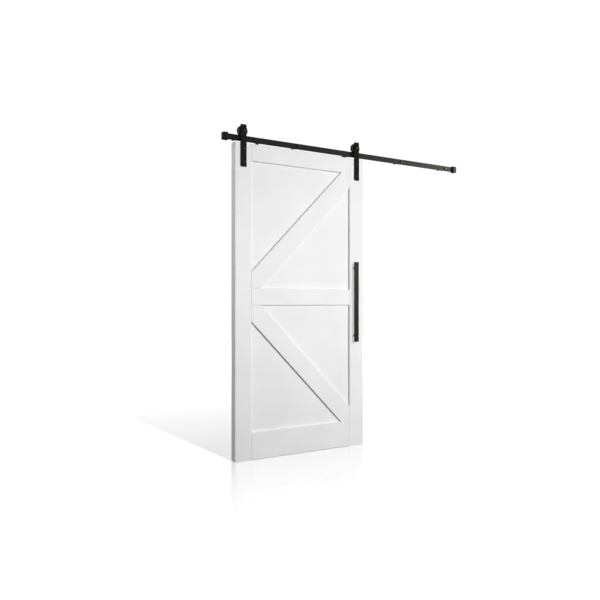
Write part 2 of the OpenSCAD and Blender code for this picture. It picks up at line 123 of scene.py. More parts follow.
finishes = {
    # Sprayed satin lacquer over primed MDF: a soft sheen, and a faint orange peel that only
    # shows where light grazes it. Its real peel is about 1.5 mm, drawn at 5 mm to show at all.
    "satinWhitePaint": {
        "slot": "white_paint", "colours": ("#F0F1F0", "#F4F5F4"), "shader": {"IOR": 1.48},
        "mottle": (260.0, 2.0), "patch": (40.0, 3.0), "roughness": (0.36, 0.46),
        "tooth": (5.0, 1.0), "relief": (0.12, 0.35),
    },
    # Black powder coat baked on steel: nearly matt, with a fine sandy tooth that breaks up
    # highlights. Its real grit is about 0.4 mm, drawn at 1.2 mm.
    "blackPowderCoat": {
        "slot": "black_steel", "colours": ("#121110", "#191817"),
        "shader": {"IOR": 1.5, "Specular IOR Level": 0.1},
        "mottle": (18.0, 4.0), "patch": (9.0, 3.0), "roughness": (0.46, 0.58),
        "tooth": (1.2, 3.0), "relief": (0.15, 0.5),
    },
    # Black oxide on bolts: thinner and smoother than powder coat, brown-black with a dull gleam
    "blackOxide": {
        "slot": "black_steel", "colours": ("#1E1C1A", "#34312D"), "shader": {"Metallic": 0.6},
        "mottle": (6.0, 4.0), "patch": (2.5, 2.0), "roughness": (0.3, 0.45),
    },
    # Nylon turned on a lathe: fine rings round the axle give a soft banded gleam.
    # The tool's feed is about 0.2 mm a turn, drawn at 0.8 mm.
    "turnedNylon": {
        "slot": "nylon", "colours": ("#1D1D1C", "#262625"), "shader": {"IOR": 1.53},
        "mottle": (7.0, 3.0), "feed": 0.8, "wander": 0.4, "roughness": (0.32, 0.44),
        "relief": (0.04, 0.4),
    },
    # Hardened bearing steel, ground bright: sharp but slightly streaked reflections
    "groundSteel": {
        "slot": "bearing_steel", "colours": ("#A9A9AC", "#C9C9CB"), "shader": {"Metallic": 1.0},
        "mottle": (1.5, 3.0, (1, 0.1, 1)), "patch": (1.5, 3.0, (1, 0.1, 1)), "roughness": (0.16, 0.28),
    },
    # Moulded black rubber: matt and slightly grey, with the mould's fine blasted texture
    "mouldedRubber": {
        "slot": "rubber", "colours": ("#1C1C1B", "#272726"),
        "shader": {"IOR": 1.5, "Specular IOR Level": 0.35},
        "mottle": (12.0, 3.0), "patch": (5.0, 2.0), "roughness": (0.68, 0.82),
        "tooth": (1.5, 2.0), "relief": (0.2, 0.5),
    },
    # Plain beech: pale pinkish brown with short flecks along the dowel
    "plainBeech": {
        "slot": "beech", "colours": ("#B98F62", "#D8B88C"), "shader": {"IOR": 1.5, "Roughness": 0.6},
        "mottle": (2.0, 4.0, (0.12, 1, 1)), "tooth": (2.0, 4.0, (0.12, 1, 1)), "relief": (0.1, 0.5),
    },
}


def grain(tree, place, size, detail, stretch=None):
    # a noise whose blobs are size millimetres across, drawn out along an axis if asked
    if stretch:
        place = addNode(tree, "ShaderNodeMapping", inputs={"Vector": place, "Scale": stretch}).outputs[0]
    noise = addNode(tree, "ShaderNodeTexNoise",
                    inputs={"Vector": place, "Scale": perMetre(size), "Detail": detail})
    return noise.outputs["Fac"]


def lathedRings(tree, feed, wander):
    # ridges that many millimetres apart along a turned part's outline
    along = addNode(tree, "ShaderNodeUVMap", {"uv_map": "turning"}).outputs[0]
    bandRate = 20    # radians that a Wave Texture's bands turn through in one unit, at scale 1
    scale = 2 * math.pi * perMetre(feed) / bandRate
    rings = addNode(tree, "ShaderNodeTexWave", {"bands_direction": "Y"},
                    {"Vector": along, "Scale": scale, "Distortion": wander})
    return rings.outputs["Fac"]


def makeFinish(name):
    spec = finishes[name]
    material = bpy.data.materials.new(name)
    material.use_nodes = True
    tree = material.node_tree
    tree.nodes.clear()
    place = addNode(tree, "ShaderNodeTexCoord").outputs["Object"]
    patterns = {use: grain(tree, place, *spec[use]) for use in ("mottle", "patch", "tooth") if use in spec}
    start, end = 0.3, 0.7    # a noise's middle range, which holds nearly all of it
    shade = addNode(tree, "ShaderNodeMapRange", inputs={
        "Value": patterns["mottle"], "From Min": start, "From Max": end})
    dark, light = spec["colours"]
    colour = addNode(tree, "ShaderNodeMix", {"data_type": "RGBA"}, {
        0: shade.outputs[0], 6: linear(dark), 7: linear(light)})
    inputs = {**spec["shader"], "Base Color": colour.outputs[2]}
    if "feed" in spec:
        patterns["patch"] = patterns["tooth"] = lathedRings(tree, spec["feed"], spec["wander"])
        start, end = 0, 1
    if "patch" in patterns:
        low, high = spec["roughness"]
        roughness = addNode(tree, "ShaderNodeMapRange", inputs={
            "Value": patterns["patch"], "From Min": start, "From Max": end, "To Min": low, "To Max": high})
        inputs["Roughness"] = roughness.outputs[0]
    if "tooth" in patterns:
        depth, strength = spec["relief"]
        bumps = addNode(tree, "ShaderNodeBump", inputs={
            "Height": patterns["tooth"], "Distance": depth * mm, "Strength": strength})
        inputs["Normal"] = bumps.outputs[0]
    shader = addNode(tree, "ShaderNodeBsdfPrincipled", inputs=inputs)
    addNode(tree, "ShaderNodeOutputMaterial", inputs={"Surface": shader.outputs[0]})
    return material


paint = makeFinish("satinWhitePaint")
coat = makeFinish("blackPowderCoat")
oxide = makeFinish("blackOxide")
nylonTurned = makeFinish("turnedNylon")
steel = makeFinish("groundSteel")
rubber = makeFinish("mouldedRubber")
beech = makeFinish("plainBeech")
print("materials made")


# Geometry Nodes for what repeats

def newTree(name, sockets):
    # sockets are (name, socket type) of the inputs; returns the tree, its inputs and its identifiers
    tree = bpy.data.node_groups.new(name, "GeometryNodeTree")
    tree.interface.new_socket(name="Geometry", in_out="OUTPUT", socket_type="NodeSocketGeometry")
    keys = {}
    for label, kind in sockets:
        socket = tree.interface.new_socket(name=label, in_out="INPUT", socket_type="NodeSocket" + kind)
        keys[label] = socket.identifier
    source = addNode(tree, "NodeGroupInput")
    return tree, source.outputs, keys


def endTree(tree, instances, finish):
    real = addNode(tree, "GeometryNodeRealizeInstances", inputs={0: instances})
    painted = addNode(tree, "GeometryNodeSetMaterial", inputs={
        "Geometry": real.outputs[0], "Material": finish})
    addNode(tree, "NodeGroupOutput", inputs={0: painted.outputs[0]})


def rowTree():
    # one part repeated along a line, and that line repeated along another
    tree, given, keys = newTree("partRows", [
        ("Geometry", "Geometry"), ("Start", "Vector"), ("Count", "Int"), ("Step", "Vector"),
        ("Rows", "Int"), ("Row Step", "Vector"), ("Finish", "Material")])
    line = addNode(tree, "GeometryNodeMeshLine", {"mode": "OFFSET"},
                   {"Count": given["Count"], "Start Location": given["Start"], "Offset": given["Step"]})
    row = addNode(tree, "GeometryNodeInstanceOnPoints",
                  inputs={"Points": line.outputs[0], "Instance": given["Geometry"]})
    rise = addNode(tree, "GeometryNodeMeshLine", {"mode": "OFFSET"},
                   {"Count": given["Rows"], "Offset": given["Row Step"]})
    rows = addNode(tree, "GeometryNodeInstanceOnPoints",
                   inputs={"Points": rise.outputs[0], "Instance": row.outputs[0]})
    endTree(tree, rows.outputs[0], given["Finish"])
    return tree, keys


def ballTree():
    # balls spaced evenly round a pitch circle about Z
    tree, given, keys = newTree("ballRing", [
        ("Balls", "Int"), ("Pitch Radius", "Float"), ("Ball Radius", "Float"), ("Finish", "Material")])
    circle = addNode(tree, "GeometryNodeMeshCircle",
                     inputs={"Vertices": given["Balls"], "Radius": given["Pitch Radius"]})
    ball = addNode(tree, "GeometryNodeMeshIcoSphere", inputs={
        "Radius": given["Ball Radius"], "Subdivisions": 4})
    ring = addNode(tree, "GeometryNodeInstanceOnPoints",
                   inputs={"Points": circle.outputs[0], "Instance": ball.outputs[0]})
    endTree(tree, ring.outputs[0], given["Finish"])
    return tree, keys


def threadTree():
    # a V-shaped thread wound up Z, thinning towards its end
    tree, given, keys = newTree("screwThread", [
        ("Turns", "Float"), ("Length", "Float"), ("Start Radius", "Float"), ("End Radius", "Float"),
        ("Depth", "Float"), ("End Depth", "Float"), ("Finish", "Material")])
    helix = addNode(tree, "GeometryNodeCurveSpiral", inputs={
        "Resolution": 28, "Rotations": given["Turns"], "Height": given["Length"],
        "Start Radius": given["Start Radius"], "End Radius": given["End Radius"]})
    level = addNode(tree, "GeometryNodeSetCurveNormal", {"mode": "Z_UP"}, {"Curve": helix.outputs[0]})
    along = addNode(tree, "GeometryNodeSplineParameter")
    depth = addNode(tree, "ShaderNodeMix", inputs={
        0: along.outputs["Factor"], 2: given["Depth"], 3: given["End Depth"]})
    kite = addNode(tree, "GeometryNodeCurvePrimitiveCircle", inputs={"Resolution": 4, "Radius": 1.0})
    ridge = addNode(tree, "GeometryNodeCurveToMesh", inputs={
        "Curve": level.outputs[0], "Profile Curve": kite.outputs[0],
        "Scale": depth.outputs[0], "Fill Caps": True})
    endTree(tree, ridge.outputs[0], given["Finish"])
    return tree, keys


partRows, rowKeys = rowTree()
ballRing, ballKeys = ballTree()
screwThread, threadKeys = threadTree()


# Mesh tools

weld = 0.000001         # metres between vertices that are one, in the parts made here
frameWeld = 0.00001     # and in the frame's own solids


def newObject(name, mesh):
    piece = bpy.data.objects.new(name, mesh)
    bpy.context.scene.collection.objects.link(piece)
    return piece


def plain(piece):
    # the piece with its modifiers worked into its mesh
    evaluated = piece.evaluated_get(bpy.context.evaluated_depsgraph_get())
    mesh = bpy.data.meshes.new_from_object(evaluated)
    piece.modifiers.clear()
    piece.data = mesh
    return piece


def runTree(piece, tree, keys, values):
    modifier = piece.modifiers.new(tree.name, "NODES")
    modifier.node_group = tree
    for label, value in values.items():
        modifier[keys[label]] = value
    bpy.context.view_layer.update()
    return plain(piece)


def shaded(piece, angle=35):
    # smooth across curves, sharp at corners, and true to the broad flat faces
    piece.data.shade_smooth()
    piece.data.set_sharp_from_angle(angle=math.radians(angle))
    weighted = piece.modifiers.new("weighted", "WEIGHTED_NORMAL")
    weighted.keep_sharp = True
    bpy.context.view_layer.update()
    plain(piece)


def finishPiece(piece, body, material, *nodes):
    # the piece in its material, riding on its body in place of these nodes of the frame
    piece.data.materials.clear()
    piece.data.materials.append(material)
    shaded(piece)
    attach(piece, body)
    if nodes:
        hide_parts(*nodes)


def joined(name, pieces):
    # several pieces' meshes as one
    whole = bmesh.new()
    for piece in pieces:
        whole.from_mesh(piece.data)
        bpy.data.objects.remove(piece)
    mesh = bpy.data.meshes.new(name)
    whole.to_mesh(mesh)
    whole.free()
    return newObject(name, mesh)


def softenedCopy(node, name, width, segments=2, turn=30):
    # a copy of a solid whose sharp edges are rounded to a width in millimetres
    solid = bmesh.new()
    solid.from_mesh(frame["nodes"][node].data)
    bmesh.ops.remove_doubles(solid, verts=solid.verts, dist=frameWeld)
    bmesh.ops.dissolve_limit(solid, angle_limit=math.radians(0.5), verts=solid.verts, edges=solid.edges)
    mesh = bpy.data.meshes.new(name)
    solid.to_mesh(mesh)
    solid.free()
    piece = newObject(name, mesh)
    bevel = piece.modifiers.new("softened", "BEVEL")
    bevel.width = width * mm
    bevel.segments = segments
    bevel.limit_method = "ANGLE"
    bevel.angle_limit = math.radians(turn)
    bevel.use_clamp_overlap = True
    bpy.context.view_layer.update()
    return plain(piece)


def softened(rings, radius, points=3, closed=True):
    # the same outline with each corner turned into a short curve, radius in millimetres
    most = 0.45    # of a side, so that the curves at its two ends never meet
    made = []
    last = len(rings) - 1
    for i, ring in enumerate(rings):
        if not closed and i in (0, last):
            made.append(ring)
            continue
        corner = Vector(ring[:2])
        before = Vector(rings[i - 1][:2]) - corner
        after = Vector(rings[(i + 1) % len(rings)][:2]) - corner
        start = before.normalized() * min(radius, before.length * most)
        end = after.normalized() * min(radius, after.length * most)
        for k in range(points + 1):
            t = k / points
            at = corner + start * (1 - t) ** 2 + end * t ** 2
            made.append((at.x, at.y) + tuple(ring[2:]))
    return made


def turned(rings, steps=72, closed=True):
    # A solid turned about Z. A ring is (radius, height, hex, slope) in millimetres: hex goes from 0,
    # round, to 1, a hexagon with its corners on the radius, and slope is how steeply height falls
    # towards those corners. An open outline starts and ends on the axis.
    solid = bmesh.new()
    marks = solid.loops.layers.uv.new("turning")
    apothem = math.cos(math.pi / 6)
    rows, travel, before = [], [], None
    for ring in rings:
        radius, height, hexShare, slope = (tuple(ring) + (0, 0))[:4]
        row = []
        for k in range(steps):
            angle = 2 * math.pi * k / steps
            flat = apothem / math.cos(angle % (math.pi / 3) - math.pi / 6)
            reach = radius * (1 - hexShare + hexShare * flat)
            fall = slope * (reach - radius * apothem) if hexShare else 0
            row.append(solid.verts.new((
                reach * math.cos(angle) * mm, reach * math.sin(angle) * mm, (height - fall) * mm)))
        rows.append(row)
        step = 0 if before is None else math.hypot(radius - before[0], height - before[1])
        travel.append((travel[-1] if travel else 0) + step * mm)
        before = (radius, height)
    count = len(rows)
    for i in range(count if closed else count - 1):
        low, high = rows[i], rows[(i + 1) % count]
        ends = (travel[i], travel[i + 1] if i + 1 < count else travel[i])
        for k in range(steps):
            nextK = (k + 1) % steps
            face = solid.faces.new((low[k], low[nextK], high[nextK], high[k]))
            corners = ((k, ends[0]), (k + 1, ends[0]), (k + 1, ends[1]), (k, ends[1]))
            for loop, (turn, rise) in zip(face.loops, corners):
                loop[marks].uv = (turn / steps, rise)
    bmesh.ops.remove_doubles(solid, verts=solid.verts, dist=weld)
    bmesh.ops.recalc_face_normals(solid, faces=solid.faces)
    mesh = bpy.data.meshes.new("turned")
    solid.to_mesh(mesh)
    solid.free()
    return newObject("turned", mesh)


# Turns a part made up Z so that it points into the wall, in its own mesh
intoWall = Matrix.Rotation(math.radians(-90), 4, "X")


def aimed(piece, turn, offset=(0, 0, 0)):
    piece.data.transform(Matrix.Translation(Vector(offset)) @ turn)
    return piece


def lathed(rings, steps=72, closed=True, place=(0, 0, 0)):
    # a turned part that points into the wall
    return aimed(turned(rings, steps, closed), intoWall, place)


def repeated(part, name, finish, start, count=1, step=(0, 0, 0), rows=1, rowStep=(0, 0, 0)):
    part.name = name
    return runTree(part, partRows, rowKeys, {
        "Start": list(start), "Count": count, "Step": list(step),
        "Rows": rows, "Row Step": list(rowStep), "Finish": finish})


def onAxles(rings, name, finish, y, steps=72, closed=True):
    # a turned part on both axles, with its height 0 at that y
    part = lathed(rings, steps, closed)
    return repeated(part, name, finish, (axles[0].x, y, axles[0].z), 2, hangerStep)


# Leaf boards and panels

boards = {"softening": 0.7, "segments": 2}
boardNames = [
    "left_stile", "right_stile", "top_rail", "mid_rail", "bottom_rail", "upper_brace", "lower_brace",
    "upper_left_panel", "upper_right_panel", "lower_left_panel", "lower_right_panel",
]


def makeBoards():
    for node in boardNames:
        board = softenedCopy(node, node + "_painted", boards["softening"], boards["segments"])
        finishPiece(board, "leaf", paint, node)


makeBoards()
print("leaf boards made")


# Track bar, end stops and pads

trackEdges = {"bar": 0.8, "stop": 1.6, "pad": 1.8}


def makeTrack():
    bar = softenedCopy("track_bar", "track_bar_coated", trackEdges["bar"], 3)
    finishPiece(bar, "track", coat, "track_bar")
    for node in ("left_stop", "right_stop"):
        stop = softenedCopy(node, node + "_coated", trackEdges["stop"], 3)
        finishPiece(stop, "track", coat, node)
    pads = softenedCopy("stop_pads", "stop_pads_moulded", trackEdges["pad"], 3)
    finishPiece(pads, "track", rubber, "stop_pads")


makeTrack()
print("track made")


# Hexagonal heads: the turned crown and seat are a little narrower than the flats
hexForm = {
    "crown": 0.92, "crownFoot": 1.02, "crownTop": 0.97,    # of half the flats, and of the crown
    "washerFace": 0.4, "chamfer": 0.25, "chamferSlope": 0.55, "rim": 0.05,
}
socketMouth = 1.15    # of the socket's corners


def hexCorner(across):
    # radius of the corners of a hexagon that wide across its flats
    return across / math.sqrt(3)


def hexHead(across, height):
    # rings of a hexagonal head from its seat at height 0 up to its turned crown
    form = hexForm
    corner = hexCorner(across)
    crown = across / 2 * form["crown"]
    return [
        (crown, 0), (crown, form["washerFace"]), (corner, form["washerFace"], 1, 0),
        (corner, height - form["chamfer"], 1, form["chamferSlope"]),
        (crown * form["crownFoot"], height - form["rim"]), (crown * form["crownTop"], height), (0, height),
    ]


def downward(rings, seat=0):
    # the same rings pointing down the axis, from that far below height 0
    return [(r[0], -r[1] - seat) + tuple(r[2:3]) + tuple(-s for s in r[3:4]) for r in rings]


def shankRings(radius, length, chamfer):
    # rings of a plain shank from its seat at height 0 up to its chamfered end
    return [(radius, 0), (radius, length - chamfer), (radius - chamfer, length), (0, length)]


def flatSocket(top, across, depth, drillPoint, lip):
    # rings of a hexagonal socket, from its floor up to the flat face that it is sunk in
    corner = hexCorner(across)
    return [(0, top - depth - drillPoint), (corner, top - depth, 1), (corner, top - lip, 1),
            (corner * socketMouth, top)]


# Lag bolts with their washers and the spacers between track and wall

lagBolt = {
    "headAcross": 13.0, "headHeight": 5.5, "shank": 8.0, "core": 5.8, "crest": 8.0,
    "pitch": 3.2, "point": 6.0, "pointEnd": (0.5, 0.3), "neck": (1.5, -1.0),    # core up to shank
    "runOut": 1.0, "tipThread": 4.6, "tipRadius": 0.9, "tipDepth": 0.25,
    "washerEdge": 0.4, "spacerEdge": 0.7, "washerHole": 8.6,
}


def makeThread(name, turns, length, radii, depths):
    piece = newObject(name, bpy.data.meshes.new(name))
    return runTree(piece, screwThread, threadKeys, {
        "Turns": turns, "Length": length * mm, "Start Radius": radii[0] * mm, "End Radius": radii[1] * mm,
        "Depth": depths[0] * mm, "End Depth": depths[1] * mm, "Finish": oxide})


def makeLagBolts():
    spec = lagBolt
    seat = -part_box("lag_washers")[0].y / mm      # from the wall's face out to the head
    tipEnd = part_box("lag_bolts")[1].y / mm
    reach = tipEnd - spec["point"]               # where the core starts to narrow
    core, shank = spec["core"] / 2, spec["shank"] / 2
    tipRadius, tipChamfer = spec["pointEnd"]
    head = downward(hexHead(spec["headAcross"], spec["headHeight"]), seat)
    shaft = [(0, tipEnd), (tipRadius, tipEnd - tipChamfer), (core, reach), (core, spec["neck"][0]),
             (shank, spec["neck"][1]), (shank, -seat)]
    body = turned(shaft + head, 48, closed=False)
    depth = spec["crest"] / 2 - core
    threaded = reach + spec["runOut"]
    turns = threaded / spec["pitch"]
    thread = makeThread("thread", turns, threaded, (core, core), (depth, depth))
    tip = makeThread("tip", spec["tipThread"] / spec["pitch"], spec["tipThread"],
                     (core, spec["tipRadius"]), (depth, spec["tipDepth"]))
    # the tip's thread carries on where the shaft's thread ends
    ending = Matrix.Rotation(2 * math.pi * (turns % 1), 4, "Z")
    tip.data.transform(Matrix.Translation((0, 0, threaded * mm)) @ ending)
    bolt = aimed(joined("lagBolt", [body, thread, tip]), intoWall)
    bolts = repeated(bolt, "lag_bolts_threaded", oxide, (wallBolts[0], 0, 0), len(wallBolts), boltStep)
    finishPiece(bolts, "track", oxide, "lag_bolts")


def tube(outer, inner, length, edge):
    # rings of a tube standing on height 0; outer and inner are diameters
    outline = [(inner / 2, 0), (outer / 2, 0), (outer / 2, length), (inner / 2, length)]
    return softened(outline, edge)


def nodeSize(node):
    low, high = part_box(node)
    return low, high, (high - low) / mm


def makeSpacers():
    spec = lagBolt
    for node, name, edge in (
        ("lag_washers", "lag_washers_pressed", spec["washerEdge"]),
        ("track_spacers", "track_spacers_turned", spec["spacerEdge"]),
    ):
        low, _, size = nodeSize(node)
        part = lathed(tube(size.z, spec["washerHole"], size.y, edge), 64)
        row = repeated(part, name, coat, (wallBolts[0], low.y, 0), len(wallBolts), boltStep)
        finishPiece(row, "track", coat, node)


makeLagBolts()
makeSpacers()
print("lag bolts and spacers made")


# Socket-headed fasteners: a domed or flat head with a hexagonal socket, on a plain shank

dome = {"drillPoint": 0.5, "countersink": 0.25, "lip": 1.12, "steps": 8, "brim": 0.25, "undercut": 0.2}


def domeHead(diameter, height, socketAcross, socketDepth):
    # rings from the socket's floor up, over the dome and down to the seat at height 0
    radius, socket, floorHeight = diameter / 2, hexCorner(socketAcross), height - socketDepth
    ball = (radius ** 2 + height ** 2) / (2 * height)
    rings = [(0, floorHeight - dome["drillPoint"]), (socket, floorHeight, 1, 0),
             (socket, height - dome["countersink"], 1, 0)]
    start = math.asin(socket * dome["lip"] / ball)
    end = math.asin(radius / ball)
    for k in range(dome["steps"] + 1):
        angle = start + (end - start) * k / dome["steps"]
        rings.append((ball * math.sin(angle), ball * math.cos(angle) - ball + height))
    rings[-1] = (radius, dome["brim"])
    rings.append((radius - dome["undercut"], 0))
    return rings


strapFixings = {
    "headDiameter": 16.0, "headHeight": 4.5, "socket": 5.0, "socketDepth": 2.5,
    "shank": 8.0, "length": 50.0, "chamfer": 1.0, "flange": 20.0, "flangeThickness": 3.0,
    "flangeFall": 0.4, "flangeEdge": 0.8, "barrel": 11.0, "barrelLength": 30.0, "play": 0.05,
    "nutSocket": 5.0, "nutSocketDepth": 2.0, "drillPoint": 0.3, "lip": 0.2, "boreEnd": -0.5,
}


def makeStrapFixings():
    spec = strapFixings
    low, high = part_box("strap_bolts")
    headRadius = spec["headDiameter"] / 2 * mm
    lowest = Vector((axles[0].x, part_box("left_strap")[0].y, low.z + headRadius))
    rise = Vector((0, 0, high.z - low.z - 2 * headRadius))
    shank = shankRings(spec["shank"] / 2, spec["length"], spec["chamfer"])
    rings = downward(domeHead(spec["headDiameter"], spec["headHeight"], spec["socket"], spec["socketDepth"]))
    bolt = lathed(rings + shank, closed=False)
    bolts = repeated(bolt, "strap_bolts_domed", oxide, lowest, 2, hangerStep, 2, rise)
    finishPiece(bolts, "leaf", oxide, "strap_bolts")

    flange, barrel, bore = spec["flange"] / 2, spec["barrel"] / 2, spec["shank"] / 2 + spec["play"]
    top, barrelEnd = spec["flangeThickness"], -spec["barrelLength"]
    nut = flatSocket(top, spec["nutSocket"], spec["nutSocketDepth"], spec["drillPoint"], spec["lip"])
    rim = [nut[-1], (flange, top - spec["flangeFall"]), (flange, 0), (barrel, 0)]
    nut += softened(rim, spec["flangeEdge"], closed=False)[1:]
    nut += [(barrel, barrelEnd), (bore, barrelEnd), (bore, spec["boreEnd"]), (0, spec["boreEnd"])]
    start = Vector((axles[0].x, leafBack, lowest.z))
    nuts = repeated(lathed(nut, closed=False), "strap_nuts_flanged", oxide, start, 2, hangerStep, 2, rise)
    finishPiece(nuts, "leaf", oxide, "strap_nuts")


makeStrapFixings()


# Straps

strapSteel = {"edge": 1.6}


def makeStraps():
    for node in ("left_strap", "right_strap"):
        strap = softenedCopy(node, node + "_coated", strapSteel["edge"], 3)
        finishPiece(strap, "leaf", coat, node)


makeStraps()
print("straps made")


# Axles: bolt, bushes, nut and the nut's nylon insert

axle = {
    "headAcross": 19.0, "headHeight": 7.5, "bolt": 12.0, "endChamfer": 1.2, "play": 0.05, "bushEdge": 0.5,
    "nutHeight": 9.0, "nutSeat": 0.94, "washerFace": 0.3, "nutChamfer": (0.6, 0.5),    # height, slope
    "collar": 17.0, "collarHeight": 3.0, "collarFoot": (0.4, 0.2), "collarEdge": 0.5,
    "insert": 14.6, "insertDepth": 1.0, "insertHeight": 0.8, "insertEdge": 0.2, "insertLift": 0.05,
}


def makeAxles():
    spec = axle
    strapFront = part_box("left_strap")[0].y
    length = (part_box("axle_bolts")[1].y - strapFront) / mm
    radius = spec["bolt"] / 2
    shank = shankRings(radius, length, spec["endChamfer"])
    head = downward(hexHead(spec["headAcross"], spec["headHeight"]))[::-1]
    bolts = onAxles(head + shank, "axle_bolts_hex", oxide, strapFront, closed=False)
    finishPiece(bolts, "leaf", oxide, "axle_bolts")

    for node, name in (("front_bushes", "front_bushes_turned"), ("rear_bushes", "rear_bushes_turned")):
        low, _, size = nodeSize(node)
        rings = tube(size.z, spec["bolt"] + 2 * spec["play"], size.y, spec["bushEdge"])
        row = onAxles(rings, name, steel, low.y)
        finishPiece(row, "leaf", steel, node)

    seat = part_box("axle_nuts")[0].y
    collar, bore, insert = spec["collar"] / 2, radius + spec["play"], spec["insert"] / 2
    corner, flat = hexCorner(spec["headAcross"]), spec["headAcross"] / 2 * spec["nutSeat"]
    height, top = spec["nutHeight"], spec["nutHeight"] + spec["collarHeight"]
    chamfer, slope = spec["nutChamfer"]
    foot, step = spec["collarFoot"]
    ledge = top - spec["insertDepth"]
    nut = [(bore, 0), (flat, 0), (flat, spec["washerFace"]),
           (corner, chamfer, 1, -slope), (corner, height - chamfer, 1, slope)]
    nut += softened([(flat, height - foot), (collar, height - step), (collar, top), (insert, top),
                     (insert, ledge), (bore, ledge)], spec["collarEdge"], closed=False)
    nuts = onAxles(nut, "axle_nuts_locking", oxide, seat)
    finishPiece(nuts, "leaf", oxide, "axle_nuts")
    washer = insert - spec["play"]
    ring = [(bore, 0), (washer, 0), (washer, spec["insertHeight"]), (bore, spec["insertHeight"])]
    inserts = onAxles(softened(ring, spec["insertEdge"]), "nut_inserts", nylonTurned,
                      seat + (ledge + spec["insertLift"]) * mm)
    finishPiece(inserts, "leaf", nylonTurned)


makeAxles()


# Ball bearings: rings with their race, balls and shields

bearing = {
    "outer": 31.96, "outerBore": 25.6, "inner": 18.4, "bore": 12.1, "width": 10.0, "race": 3.05,
    "raceSteps": 8, "pitchRadius": 11.0, "balls": 8, "ballRadius": 2.98, "shieldSeat": 13.3,
    "shieldStep": 0.8, "shieldOuter": 13.28, "shieldBore": 9.5, "shieldThickness": 0.6, "shieldEdge": 0.15,
    "shieldInset": 0.2, "ringEdge": 0.4,
}


def raceArc(radius, side):
    # rings along the race's circular groove, cut into a ring's inner (-1) or outer (1) wall
    spec = bearing
    steps = spec["raceSteps"]
    half = math.sqrt(spec["race"] ** 2 - (radius - spec["pitchRadius"]) ** 2)
    end = math.atan2(half, abs(radius - spec["pitchRadius"]))
    arc = []
    for k in range(steps + 1):
        angle = end - 2 * end * k / steps
        across, up = spec["race"] * math.cos(angle), spec["race"] * math.sin(angle)
        arc.append((spec["pitchRadius"] + side * across, up))
    return arc


def makeBearings():
    spec = bearing
    half = spec["width"] / 2
    inner, bore, edge = spec["inner"] / 2, spec["bore"] / 2, spec["ringEdge"]
    outline = softened([(inner, half), (bore, half), (bore, -half), (inner, -half)], edge)
    outline += raceArc(inner, -1)[::-1]
    rings = onAxles(outline, "bearing_inner_rings_ground", steel, axles[0].y, 96)
    finishPiece(rings, "leaf", steel, "bearing_inner_rings")

    for side, body, place in wheelBodies:
        outer, wall, step = spec["outer"] / 2, spec["outerBore"] / 2, half - spec["shieldStep"]
        outline = [(spec["shieldSeat"], -half)] + softened(
            [(outer, -half), (outer, half)], edge, closed=False) + [(spec["shieldSeat"], half)]
        outline += [(spec["shieldSeat"], step), (wall, step)] + raceArc(wall, 1)
        outline += [(wall, -step), (spec["shieldSeat"], -step)]
        ring = lathed(outline, 96, place=place)
        ring.name = side + "_bearing_ring_ground"
        finishPiece(ring, body, steel, side + "_bearing_ring")

        balls = newObject(side + "_bearing_balls_polished", bpy.data.meshes.new("balls"))
        runTree(balls, ballRing, ballKeys, {
            "Balls": spec["balls"], "Pitch Radius": spec["pitchRadius"] * mm,
            "Ball Radius": spec["ballRadius"] * mm, "Finish": steel})
        finishPiece(aimed(balls, intoWall, place), body, steel, side + "_bearing_balls")

        shield = softened([
            (spec["shieldBore"], 0), (spec["shieldOuter"], 0), (spec["shieldOuter"], spec["shieldThickness"]),
            (spec["shieldBore"], spec["shieldThickness"])], spec["shieldEdge"])
        frontFace = (spec["shieldInset"] - half) * mm
        front = lathed(shield, 96, place=place + Vector((0, frontFace, 0)))
        back = lathed(shield, 96, place=place + Vector((0, step * mm, 0)))
        shields = joined(side + "_bearing_shields_pressed", [front, back])
        finishPiece(shields, body, steel, side + "_bearing_shields")


makeBearings()


# Grooved wheels

wheel = {
    "hub": 20.0, "hubSetback": 2.0, "webSetback": 4.5, "webSlope": 1.5, "rim": 8.0, "seat": 16.0,
    "lip": 14.0, "seatDepth": 5.0, "tread": 29.7, "grooveHalf": 3.4, "mouthHalf": 4.8, "edge": 0.9,
}


def makeWheels():
    spec = wheel
    for side, body, place in wheelBodies:
        size = nodeSize(side + "_wheel")[2]
        radius, half = size.z / 2, size.y / 2
        hubHalf, webHalf, rim = half - spec["hubSetback"], half - spec["webSetback"], radius - spec["rim"]
        outline = [
            (spec["lip"], -hubHalf), (spec["hub"], -hubHalf), (spec["hub"] + spec["webSlope"], -webHalf),
            (rim - spec["webSlope"], -webHalf), (rim, -half), (radius, -half),
            (radius, -spec["mouthHalf"]), (spec["tread"], -spec["grooveHalf"]),
            (spec["tread"], spec["grooveHalf"]), (radius, spec["mouthHalf"]),
            (radius, half), (rim, half), (rim - spec["webSlope"], webHalf),
            (spec["hub"] + spec["webSlope"], webHalf), (spec["hub"], hubHalf), (spec["seat"], hubHalf),
            (spec["seat"], -spec["seatDepth"]), (spec["lip"], -spec["seatDepth"]),
        ]
        piece = lathed(softened(outline, spec["edge"]), 128, place=place)
        piece.name = side + "_wheel_turned"
        finishPiece(piece, body, nylonTurned, side + "_wheel")


makeWheels()
print("hangers made")


# Anti-jump discs and their countersunk screws

discs = {
    "edge": 0.8, "shoulder": 2.0, "hole": 4.6, "countersink": 9.6, "countersinkPlay": 0.3,
    "screw": 4.0, "screwHead": 9.0, "headHeight": 3.0, "headEdge": (0.2, 0.15), "screwLength": 34.0,
    "point": 2.0, "socket": 2.5, "socketDepth": 1.5, "drillPoint": 0.3, "lip": 0.1,
}


